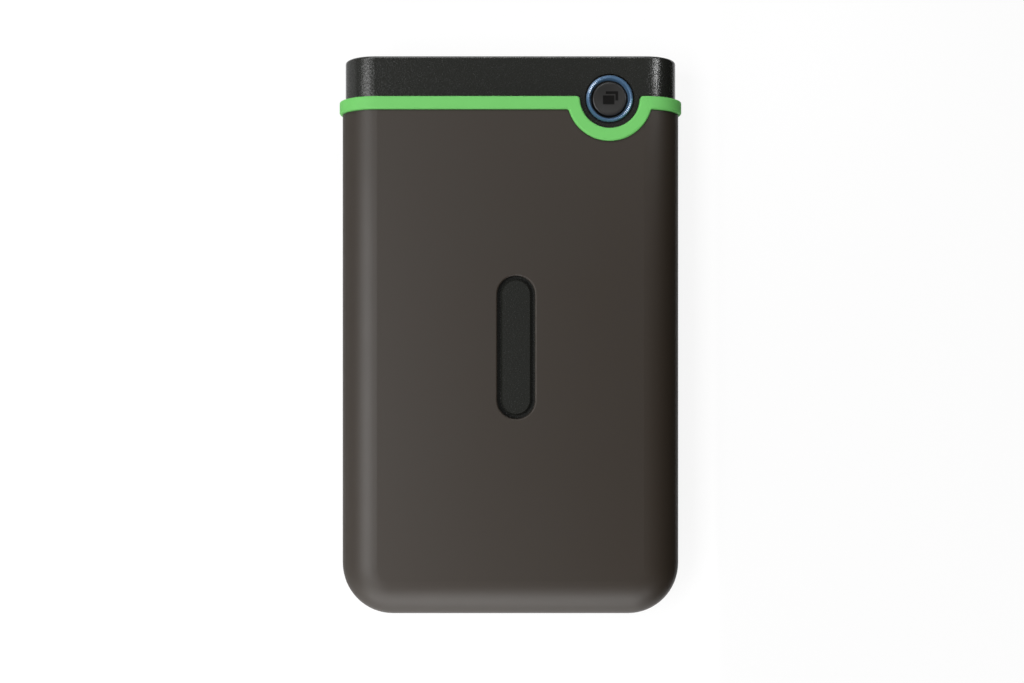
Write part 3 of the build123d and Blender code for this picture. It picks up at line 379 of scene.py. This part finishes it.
# Flat black with a fine moulded grain
CHIP_EPOXY = Finish(
    "epoxy_transfer_moulded", "#232325", "#1E1E20",
    roughness=0.6, roughness_drift=0.06, patch_mm=3.0, pattern_mm=0.12, ior=1.55,
)
# Black nylon with a dull gloss
CONNECTOR_PLASTIC = Finish(
    "nylon_moulded_glass_filled", "#262628", "#202022",
    roughness=0.46, roughness_drift=0.06, patch_mm=3.0, pattern_mm=0.15, relief_mm=0.004, ior=1.53,
)
# Bright tin with soft drawn lines
TINNED_STEEL = Finish(
    "steel_tinned_folded", "#C9CACC", "#BDBEC1",
    roughness=0.26, patch_mm=4.0, pattern=Pattern.LINES, pattern_mm=0.12, relief_mm=0.004, metallic=1.0,
)
# Warm yellow mirror, slightly burnished
GOLD_CONTACT = Finish(
    "gold_plated_spring", "#E2B457", "#D6A647",
    roughness=0.2, roughness_drift=0.04, patch_mm=0.8, pattern=Pattern.LINES, pattern_mm=0.08,
    relief_mm=0.002, metallic=1.0,
)
# Clear and wet-looking, with a milky body
LAMP_RESIN = Finish(
    "epoxy_cast_clear", "#E8ECF0", "#DDE3EA",
    roughness=0.12, roughness_drift=0.03, patch_mm=0.8, relief_mm=0.001, ior=1.53, transmission=0.6,
)
# Dead black and slightly dusty
DAMPER_RUBBER = Finish(
    "butyl_rubber_cut_sheet", "#2B2B2B", "#242424",
    roughness=0.8, roughness_drift=0.06, patch_mm=5.0, pattern_mm=0.2, relief_mm=0.02, sheen=0.2,
)
# Dark grey with a skin of fine cells
FOAM = Finish(
    "polyethylene_foam_closed_cell", "#4A4A4C", "#3F3F41",
    roughness=0.85, patch_mm=4.0, pattern=Pattern.PITS, pattern_mm=0.5, relief_mm=0.12, sheen=0.2,
)
# Pale grey skin with a sandy grain
CAST_ALUMINIUM = Finish(
    "aluminium_die_cast", "#B9BBBD", "#A9ABAE",
    roughness=0.46, roughness_drift=0.08, patch_mm=8.0, pattern_mm=0.35, relief_mm=0.02, metallic=1.0,
)
# Cool silver with rolling lines
COVER_STEEL = Finish(
    "stainless_steel_rolled_pressed", "#C6C8CA", "#BBBDC0",
    roughness=0.3, patch_mm=12.0, pattern=Pattern.LINES, pattern_mm=0.15, relief_mm=0.004, metallic=1.0,
)
# Dull black bead
GASKET_RUBBER = Finish(
    "fluoro_rubber_moulded", "#2F2F2F", "#272727",
    roughness=0.7, patch_mm=4.0, pattern_mm=0.25, relief_mm=0.008,
)
# Brown-gold, with the fine pores of pressed powder
BRONZE = Finish(
    "bronze_sintered_turned", "#A8784A", "#9A6C41",
    roughness=0.38, roughness_drift=0.06, patch_mm=2.0, pattern_mm=0.15, metallic=1.0,
)
# Dark grey steel with lines from the rolls
LAMINATION_STEEL = Finish(
    "silicon_steel_stamped", "#83868B", "#75787D",
    roughness=0.42, roughness_drift=0.06, patch_mm=2.5, pattern=Pattern.LINES, pattern_mm=0.2, metallic=1.0,
)
# Red-brown lacquered wire, ridged by its turns
COPPER_WIRE = Finish(
    "copper_enamelled_wound", "#B9703C", "#A56031",
    roughness=0.3, patch_mm=1.0, pattern=Pattern.TURNS, pattern_mm=0.18, relief_mm=0.05, metallic=1.0,
    coat=0.5,
)
# Bright silver with fine lathe rings
TURNED_ALUMINIUM = Finish(
    "aluminium_turned", "#CFD0D2", "#C3C4C7",
    roughness=0.24, patch_mm=5.0, pattern=Pattern.RINGS, pattern_mm=0.2, relief_mm=0.004,
    axis=upright_axis("spindle_hub"), metallic=1.0,
)
# Warm silver, almost a mirror
MAGNET_NICKEL = Finish(
    "nickel_plated_sintered", "#C9C5BE", "#BEBAB2",
    roughness=0.18, roughness_drift=0.04, patch_mm=3.0, pattern_mm=0.4, relief_mm=0.002, metallic=1.0,
)
# A clean silver mirror
PLATTER_FILM = Finish(
    "glass_sputtered_film", "#D2D4D8", "#CCCED3",
    roughness=0.05, roughness_drift=0.01, patch_mm=20.0, pattern_mm=0.5, relief_mm=0.0002, metallic=1.0,
)
# Ivory and waxy
RAMP_PLASTIC = Finish(
    "acetal_moulded_natural", "#E4DFCF", "#DAD4C2",
    roughness=0.35, patch_mm=2.0, pattern_mm=0.2, relief_mm=0.003, ior=1.48,
)
# Matt tan with a fine sintered tooth
CERAMIC = Finish(
    "ceramic_sintered", "#A58C6B", "#97805F",
    roughness=0.55, roughness_drift=0.06, patch_mm=0.8, pattern_mm=0.1, relief_mm=0.004, ior=1.6,
)


def link_mesh(name: str, mesh_data: bmesh.types.BMesh, material: bpy.types.Material) -> bpy.types.Object:
    """Turn a finished bmesh into an object in the scene.

    Args:
        name: Name of the new object.
        mesh_data: Its mesh, which is freed.
        material: Its material.

    Returns:
        The new object.
    """
    mesh = bpy.data.meshes.new(name)
    mesh_data.to_mesh(mesh)
    mesh_data.free()
    mesh.materials.append(material)
    made = bpy.data.objects.new(name, mesh)
    bpy.context.scene.collection.objects.link(made)
    return made


def add_piece(
    name: str, mesh_data: bmesh.types.BMesh, finish: Finish, sharp: float = SHARP_EDGE
) -> bpy.types.Object:
    """Turn a finished bmesh into a smooth-shaded piece with its finish.

    Args:
        name: Name of the new piece.
        mesh_data: Its mesh, which is freed.
        finish: Its finish.
        sharp: Angle in degrees from which an edge stays sharp.

    Returns:
        The new piece.
    """
    bmesh.ops.recalc_face_normals(mesh_data, faces=mesh_data.faces)
    piece = link_mesh(name, mesh_data, finish.material())
    piece.data.shade_smooth()
    piece.data.set_sharp_from_angle(angle=math.radians(sharp))
    log.info("%s: %s", name, finish.name)
    return piece


@dataclass
class SubAssembly:
    """Pieces that come off together on a bench, with the finish of each CAD node among them."""

    finishes: dict[str, Finish] = field(default_factory=dict)

    def dress(self) -> None:
        """Give each CAD node its finish."""
        for name, finish in self.finishes.items():
            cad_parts[name].material_slots[0].material = finish.material()
            log.info("%s: %s", name, finish.name)


@dataclass
class Enclosure(SubAssembly):
    """Sleeve, band, case halves and the screws that close the case."""

    finishes: dict[str, Finish] = field(
        default_factory=lambda: {
            "outer_sleeve": SLEEVE_RUBBER,
            "edge_band": BAND_RUBBER,
            "front_case": CASE_PLASTIC,
            "back_case": CASE_PLASTIC,
            "case_screws": SCREW_STEEL,
        }
    )


@dataclass
class LightRing:
    """Ring round the button: chamfered inside, with sharp radial ribs on its face, on two light pegs.

    An edge that turns by more than the rib crease, in degrees, stays sharp.
    """

    width: float = 1.05 * MM
    height: float = 1.2 * MM
    bevel: float = 0.25 * MM
    chamfer_width: float = 0.38 * MM
    chamfer_drop: float = 0.95 * MM
    ribs: int = 70
    rib_height: float = 0.054 * MM
    rib_crease: float = 20.0
    peg_radius: float = 0.45 * MM
    peg_steps: int = 24

    def build(self) -> None:
        """Build the ribbed ring in the place of the plain one."""
        low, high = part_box("light_ring")
        centre = (low + high) / 2
        outer = (high.x - low.x) / 2
        mesh_data = bmesh.new()
        self.add_ring(mesh_data, centre, outer, high.z)
        peg_circle = outer - self.width / 2
        for side in (-1, 1):
            foot = Vector((centre.x + side * peg_circle, centre.y, low.z))
            self.add_peg(mesh_data, foot, high.z - self.height)
        ring = add_piece("light_ring_ribbed", mesh_data, RING_PLASTIC, sharp=self.rib_crease)
        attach(ring, "case")
        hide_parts("light_ring")

    def profile(self, outer: float, top: float) -> list[tuple[float, float, float]]:
        """Give the section of the ring.

        Args:
            outer: Outer radius.
            top: Level of the ring's face.

        Returns:
            Radius, level and share of the ribs' height at each corner of the section, in order.
        """
        inner = outer - self.width
        base = top - self.height
        return [
            (inner, base, 0.0),
            (inner, top - self.chamfer_drop, 0.0),
            (inner + self.chamfer_width, top, 1.0),
            (outer - self.bevel, top, 1.0),
            (outer, top - self.bevel, 0.0),
            (outer, base, 0.0),
        ]

    def add_ring(self, mesh_data: bmesh.types.BMesh, centre: Vector, outer: float, top: float) -> None:
        """Add the ring, whose face dips between the ribs.

        Args:
            mesh_data: Mesh to add to.
            centre: Middle of the ring.
            outer: Outer radius.
            top: Level of the ring's face.
        """
        steps = 2 * self.ribs
        section = self.profile(outer, top)
        rows = []
        for step in range(steps):
            angle = math.tau * step / steps
            dip = self.rib_height * (step % 2)
            row = []
            for radius, level, share in section:
                across = centre.x + radius * math.cos(angle)
                along = centre.y + radius * math.sin(angle)
                row.append(mesh_data.verts.new((across, along, level - share * dip)))
            rows.append(row)
        corners = len(section)
        for step in range(steps):
            here, there = rows[step], rows[(step + 1) % steps]
            for corner in range(corners):
                following = (corner + 1) % corners
                mesh_data.faces.new((here[corner], there[corner], there[following], here[following]))

    def add_peg(self, mesh_data: bmesh.types.BMesh, foot: Vector, top: float) -> None:
        """Add one upright light peg.

        Args:
            mesh_data: Mesh to add to.
            foot: Middle of the peg's lower end.
            top: Level at which the peg meets the ring.
        """
        made = bmesh.ops.create_cone(
            mesh_data,
            cap_ends=True,
            segments=self.peg_steps,
            radius1=self.peg_radius,
            radius2=self.peg_radius,
            depth=top - foot.z,
        )
        middle = Vector((foot.x, foot.y, (foot.z + top) / 2))
        bmesh.ops.translate(mesh_data, verts=made["verts"], vec=middle)


@dataclass
class PushButton(SubAssembly):
    """Dished button with a mark of two overlapping squares, its plunger and its switch.

    The dish is as deep as the part's, inside a plain edge. Each sheet of the mark is given by its left,
    right, foot and head in millimetres from the button's axis, and lies on the dish as a film. The back
    sheet shows as a line, so many millimetres wide, along its head and right side.
    """

    dish: float = 0.22 * MM
    edge: float = 0.6 * MM
    film: float = 0.015 * MM
    film_steps: int = 8
    front_sheet: tuple[float, float, float, float] = (-1.5, 1.15, -1.25, 0.8)
    back_sheet: tuple[float, float, float, float] = (-0.85, 2.0, -0.35, 1.75)
    back_line: float = 0.62
    finishes: dict[str, Finish] = field(
        default_factory=lambda: {
            "button_cap": BUTTON_PLASTIC,
            "switch_plunger": RAMP_PLASTIC,
            "tact_switch": CONNECTOR_PLASTIC,
        }
    )

    def build_mark(self) -> None:
        """Build the mark: a filled sheet in front, and the corner of a second one behind it."""
        left, right, foot, head = self.back_sheet
        line = self.back_line
        sheets = [
            self.front_sheet,
            (left, right, head - line, head),
            (right - line, right, foot, head - line),
        ]
        mesh_data = bmesh.new()
        for sheet in sheets:
            self.add_film(mesh_data, sheet)
        mark = add_piece("button_mark", mesh_data, MARK_INK)
        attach(mark, "button")

    def add_film(self, mesh_data: bmesh.types.BMesh, sheet: tuple[float, float, float, float]) -> None:
        """Add one closed film of ink that follows the dish.

        Args:
            mesh_data: Mesh to add to.
            sheet: Left, right, foot and head of the film.
        """
        under = self.add_layer(mesh_data, sheet, -self.film)
        over = self.add_layer(mesh_data, sheet, self.film)
        last = self.film_steps
        for row in range(last):
            for column in range(last):
                for grid in (under, over):
                    near, far = grid[row], grid[row + 1]
                    mesh_data.faces.new((near[column], near[column + 1], far[column + 1], far[column]))
        for step in range(last):
            for (row, column), (next_row, next_column) in (
                ((0, step), (0, step + 1)),
                ((last, step), (last, step + 1)),
                ((step, 0), (step + 1, 0)),
                ((step, last), (step + 1, last)),
            ):
                mesh_data.faces.new(
                    (
                        under[row][column],
                        under[next_row][next_column],
                        over[next_row][next_column],
                        over[row][column],
                    )
                )

    def add_layer(
        self, mesh_data: bmesh.types.BMesh, sheet: tuple[float, float, float, float], lift: float
    ) -> list[list[bmesh.types.BMVert]]:
        """Add the points of one side of a film.

        Args:
            mesh_data: Mesh to add to.
            sheet: Left, right, foot and head of the film.
            lift: Height of this side above the dish.

        Returns:
            Rows of points from the foot to the head, each from left to right.
        """
        low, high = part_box("button_cap")
        centre = (low + high) / 2
        reach = (high.x - low.x) / 2 - self.edge
        bowl = (reach ** 2 + self.dish ** 2) / (2 * self.dish)
        left, right, foot, head = (side * MM for side in sheet)
        grid = []
        for row in range(self.film_steps + 1):
            along = foot + (head - foot) * row / self.film_steps
            points = []
            for column in range(self.film_steps + 1):
                across = left + (right - left) * column / self.film_steps
                level = high.z - self.dish + bowl - math.sqrt(bowl ** 2 - across ** 2 - along ** 2) + lift
                points.append(mesh_data.verts.new((centre.x + across, centre.y + along, level)))
            grid.append(points)
        return grid


@dataclass
class BridgeBoard(SubAssembly):
    """Board behind the socket, with its chips, lamps, screws and the socket itself."""

    finishes: dict[str, Finish] = field(
        default_factory=lambda: {
            "bridge_board": BOARD_LAMINATE,
            "usb_shell": TINNED_STEEL,
            "usb_tongue": CONNECTOR_PLASTIC,
            "usb_contacts": GOLD_CONTACT,
            "status_leds": LAMP_RESIN,
            "sata_receptacle": CONNECTOR_PLASTIC,
            "bridge_chip": CHIP_EPOXY,
            "flash_chip": CHIP_EPOXY,
            "clock_crystal": TINNED_STEEL,
            "power_inductor": CHIP_EPOXY,
            "board_capacitors": CERAMIC,
            "board_screws": SCREW_STEEL,
        }
    )


@dataclass
class ShockMounting(SubAssembly):
    """Rubber pads and foam that hold the disk drive in the case."""

    finishes: dict[str, Finish] = field(
        default_factory=lambda: {
            "front_pads": DAMPER_RUBBER,
            "back_pads": DAMPER_RUBBER,
            "side_pads": DAMPER_RUBBER,
            "end_bumper": FOAM,
        }
    )


@dataclass
class DiskDrive(SubAssembly):
    """The 2.5-inch drive: base, cover, spindle, platter, head arm and electronics."""

    finishes: dict[str, Finish] = field(
        default_factory=lambda: {
            "drive_base": CAST_ALUMINIUM,
            "drive_cover": COVER_STEEL,
            "cover_gasket": GASKET_RUBBER,
            "cover_screws": SCREW_STEEL,
            "spindle_bearing": BRONZE,
            "spindle_stator": LAMINATION_STEEL,
            "stator_coils": COPPER_WIRE,
            "spindle_hub": TURNED_ALUMINIUM,
            "rotor_magnet": MAGNET_NICKEL,
            "platter": PLATTER_FILM,
            "disk_clamp": TURNED_ALUMINIUM,
            "clamp_screw": SCREW_STEEL,
            "pivot_shaft": TINNED_STEEL,
            "pivot_bearing": TINNED_STEEL,
            "actuator_arm": TURNED_ALUMINIUM,
            "arm_suspensions": COVER_STEEL,
            "head_sliders": CERAMIC,
            "voice_coil": COPPER_WIRE,
            "lower_yoke": LAMINATION_STEEL,
            "coil_magnet": MAGNET_NICKEL,
            "upper_yoke": LAMINATION_STEEL,
            "load_ramp": RAMP_PLASTIC,
            "air_filter": FOAM,
            "drive_board": BOARD_LAMINATE,
            "drive_sata_plug": CONNECTOR_PLASTIC,
            "drive_controller": CHIP_EPOXY,
            "drive_memory": CHIP_EPOXY,
            "motor_driver": CHIP_EPOXY,
            "drive_board_screws": SCREW_STEEL,
        }
    )


def add_sheet(name: str, size: tuple[float, float], material: bpy.types.Material) -> bpy.types.Object:
    """Add a flat rectangle that belongs to the studio.

    Args:
        name: Name of the sheet.
        size: Its width and length, in metres.
        material: Its material.

    Returns:
        The sheet, flat on the floor about the origin.
    """
    half_width, half_length = size[0] / 2, size[1] / 2
    corners = [(-1, -1), (1, -1), (1, 1), (-1, 1)]
    mesh_data = bmesh.new()
    mesh_data.faces.new([mesh_data.verts.new((x * half_width, y * half_length, 0)) for x, y in corners])
    sheet = link_mesh(name, mesh_data, material)
    return sheet


@dataclass(frozen=True)
class Softbox:
    """One flat studio lamp, with its place, its size and the point that it faces in millimetres."""

    name: str
    place: tuple[float, float, float]
    size: tuple[float, float]
    radiance: float
    aim: tuple[float, float, float] = (0.0, 0.0, 10.0)

    def hang(self) -> None:
        """Hang the lamp, out of the picture."""
        lamp = bpy.data.lights.new(self.name, "AREA")
        lamp.shape = "RECTANGLE"
        lamp.size, lamp.size_y = (side * MM for side in self.size)
        lamp.energy = LAMP_WATTS * self.radiance * lamp.size * lamp.size_y
        holder = bpy.data.objects.new(self.name, lamp)
        holder.location = Vector(self.place) * MM
        holder.rotation_euler = (Vector(self.place) - Vector(self.aim)).to_track_quat("Z", "Y").to_euler()
        holder.visible_camera = False
        bpy.context.scene.collection.objects.link(holder)


@dataclass(frozen=True)
class Card:
    """One card for the object to mirror, by the x and z of its lower and upper edge in millimetres."""

    name: str
    foot: tuple[float, float]
    top: tuple[float, float]
    colour: str
    width: float = 400.0

    def lean(self) -> None:
        """Lean the card beside the object, out of the picture and with no shadow."""
        foot, top = Vector(self.foot) * MM, Vector(self.top) * MM
        rise = top - foot
        middle = (foot + top) / 2
        sheet = add_sheet(self.name, (rise.length, self.width * MM), self.material())
        sheet.location = (middle.x, 0.0, middle.y)
        sheet.rotation_euler = (0.0, -math.atan2(rise.y, rise.x), 0.0)
        sheet.visible_camera = False
        sheet.visible_shadow = False

    def material(self) -> bpy.types.Material:
        """Make the dull paper of the card.

        Returns:
            The material.
        """
        made = bpy.data.materials.new(f"paper_{self.name}")
        tree = empty_tree(made)
        paper = add_node(tree, "ShaderNodeBsdfDiffuse", {"Color": linear(self.colour)})
        add_node(tree, "ShaderNodeOutputMaterial", {"Surface": paper.outputs[0]})
        return made


@dataclass
class Studio:
    """White floor, soft lamps, a card on either side and the camera straight above.

    The floor is plain white for the given share where it is seen or mirrored, and keeps the shadow in the
    rest. The backdrop fades to the ceiling between two heights, each the sine of its elevation. The camera's
    place, lens and sensor are in millimetres.
    """

    floor_size: float = 6000 * MM
    floor_colour: str = "#F9F9F9"
    floor_white: float = 0.86
    camera_place: tuple[float, float, float] = (0.36, -0.875, 262.5)
    camera_clip: float = 1 * MM
    lens: float = 37.8
    sensor: float = 36.0
    backdrop: float = 1.0
    backdrop_top: float = 0.06
    ceiling: float = 0.12
    ceiling_edge: float = 0.25
    world_colour: str = "#FFFFFF"
    cards: tuple[Card, ...] = (
        Card("card_left", (-46.0, 1.0), (-300.0, 26.0), "#B4B4B4"),
        Card("card_right", (50.0, 1.0), (150.0, 120.0), "#0A0A0A"),
    )
    lamps: tuple[Softbox, ...] = (
        # The main light
        Softbox("high_left", (-495.0, -70.0, 620.0), (440.0, 550.0), 6.2, (-495.0, -70.0, 0.0)),
        # Light on the rounded end of the sleeve
        Softbox("low_front", (-20.0, -215.0, 80.0), (320.0, 120.0), 2.9, (0.0, -60.0, 8.0)),
        # Fill from the socket's end
        Softbox("high_back", (-150.0, 740.0, 560.0), (650.0, 300.0), 4.0),
        # Highlights on the edges of the bare case; the right lamp is small and close, so that the sleeve's
        # rim stays dark
        Softbox("strip_right", (76.3, 79.4, 62.1), (9.1, 5.8), 36.0, (34.6, 63.2, 15.0)),
        Softbox("strip_left", (-441.0, 205.0, 600.0), (110.0, 70.0), 1.6, (-30.0, 58.0, 14.0)),
        # The streaks on the ring's ribs
        Softbox("strip_ring", (305.0, 513.0, 620.0), (640.0, 40.0), 12.0, (23.0, 55.0, 15.0)),
    )

    def build(self) -> None:
        """Set up the floor, the cards, the lamps, the world and the camera."""
        add_sheet("floor", (self.floor_size, self.floor_size), self.floor_material())
        for card in self.cards:
            card.lean()
        for lamp in self.lamps:
            lamp.hang()
        self.light_world()
        self.place_camera()
        bpy.context.scene.view_settings.view_transform = "Standard"

    def floor_material(self) -> bpy.types.Material:
        """Make the white floor, whose shadow is softened where it is seen or mirrored.

        Returns:
            The material.
        """
        made = bpy.data.materials.new("paper_sweep")
        tree = empty_tree(made)
        path = add_node(tree, "ShaderNodeLightPath").outputs
        mirrored = add_node(
            tree,
            "ShaderNodeMath",
            {0: path["Is Glossy Ray"], 1: path["Is Transmission Ray"]},
            operation="MAXIMUM",
        )
        seen = add_node(
            tree, "ShaderNodeMath", {0: path["Is Camera Ray"], 1: mirrored.outputs[0]}, operation="MAXIMUM"
        )
        share = add_node(tree, "ShaderNodeMapRange", {"Value": seen.outputs[0], "To Max": self.floor_white})
        paper = add_node(tree, "ShaderNodeBsdfDiffuse", {"Color": linear(self.floor_colour)})
        white = add_node(tree, "ShaderNodeEmission", {"Strength": 1.0})
        mix = add_node(
            tree, "ShaderNodeMixShader", {0: share.outputs[0], 1: paper.outputs[0], 2: white.outputs[0]}
        )
        add_node(tree, "ShaderNodeOutputMaterial", {"Surface": mix.outputs[0]})
        return made

    def light_world(self) -> None:
        """Make a white backdrop all round, up to a dim ceiling."""
        world = bpy.data.worlds.new("studio")
        tree = empty_tree(world)
        direction = add_node(tree, "ShaderNodeTexCoord").outputs["Generated"]
        height = add_node(tree, "ShaderNodeSeparateXYZ", {0: direction}).outputs[2]
        strength = add_node(
            tree,
            "ShaderNodeMapRange",
            {
                "Value": height,
                "From Min": self.backdrop_top,
                "From Max": self.ceiling_edge,
                "To Min": self.backdrop,
                "To Max": self.ceiling,
            },
        )
        light = add_node(
            tree,
            "ShaderNodeBackground",
            {"Color": linear(self.world_colour), "Strength": strength.outputs[0]},
        )
        add_node(tree, "ShaderNodeOutputWorld", {"Surface": light.outputs[0]})
        bpy.context.scene.world = world

    def place_camera(self) -> None:
        """Place the camera straight above, with +Y up in the picture."""
        camera = bpy.data.cameras.new("camera")
        camera.lens = self.lens
        camera.sensor_width = self.sensor
        camera.clip_start = self.camera_clip
        holder = bpy.data.objects.new("camera", camera)
        holder.location = Vector(self.camera_place) * MM
        bpy.context.scene.collection.objects.link(holder)
        bpy.context.scene.camera = holder


def main() -> None:
    """Build and dress each sub-assembly, then the studio."""
    logging.basicConfig(level=logging.INFO, format="%(message)s")
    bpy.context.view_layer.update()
    Enclosure().dress()
    LightRing().build()
    button = PushButton()
    button.dress()
    button.build_mark()
    BridgeBoard().dress()
    ShockMounting().dress()
    DiskDrive().dress()
    Studio().build()


if __name__ == "__main__":
    main()
